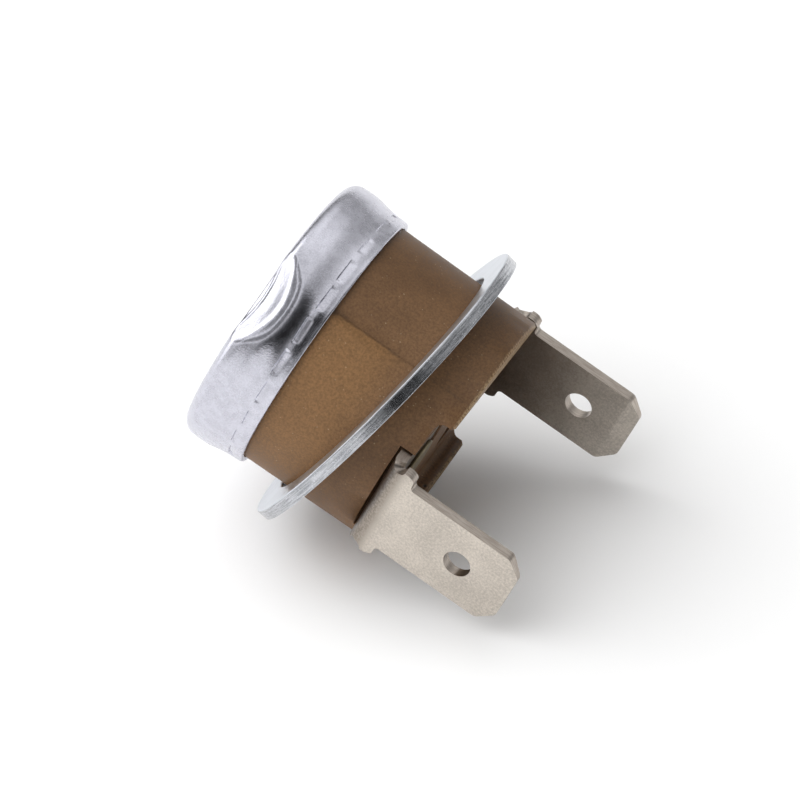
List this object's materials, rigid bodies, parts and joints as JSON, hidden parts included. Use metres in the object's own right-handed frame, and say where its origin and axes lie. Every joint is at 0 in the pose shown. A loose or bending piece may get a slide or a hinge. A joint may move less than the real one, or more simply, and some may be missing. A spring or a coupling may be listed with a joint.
{
  "type": "bimetal thermostat",
  "caption": "Round bimetal snap-disc temperature switch with a drawn aluminium cap, a brown moulded body, a loose steel mounting ring and push-on blade terminals.",
  "frame": {"origin": "centre of the flat sensing face of the cap", "axes": "+Z along the body's axis from the sensing face to the terminals; the two blades stand at -Y and +Y with their width along X"},
  "size_m": [0.0238, 0.0242, 0.025],
  "materials": {
    "cap_aluminium": "bright drawn aluminium, satin",
    "bimetal": "rolled strip",
    "phenolic": "matt moulded phenolic with fine grain",
    "ceramic": "matt white ceramic",
    "zinc_plated_steel": "bright zinc plate, sheared edge",
    "plated_brass": "satin nickel plate on brass",
    "brass": "plain brass",
    "contact_silver": "fine silver",
    "spring_bronze": "rolled spring bronze"
  },
  "bodies": {
    "housing": {"sensing_cap": "cap_aluminium", "bimetal_disc": "bimetal", "guide_plate": "phenolic", "moulded_body": "phenolic", "fixed_terminal": "plated_brass", "arm_terminal": "plated_brass", "fixed_rivet": "brass", "arm_rivet": "brass", "fixed_bracket": "brass", "fixed_contact": "contact_silver", "arm_bracket": "brass", "arm_stake": "brass", "contact_arm": "spring_bronze"},
    "ring": {"mounting_ring": "zinc_plated_steel"},
    "pin": {"transfer_pin": "ceramic"},
    "arm_tip": {"moving_contact": "contact_silver"}
  },
  "joints": [
    {"name": "ring_slide", "type": "slide", "parent": "housing", "child": "ring", "axis": [0, 0, 1], "range_m": [-0.0023, 0.0023]},
    {"name": "pin_slide", "type": "slide", "parent": "housing", "child": "pin", "axis": [0, 0, 1], "range_m": [0, 0.0003], "deforming": ["bimetal_disc", "contact_arm"]},
    {"name": "arm_swing", "type": "hinge", "parent": "housing", "child": "arm_tip", "pos_m": [0, 0.003, 0.00775], "axis": [-1, 0, 0], "range_deg": [0, 5.8]}
  ],
  "couplings": [
    {"joint": "arm_swing", "follows": "pin_slide", "rad_per_m": 333.33}
  ]
}
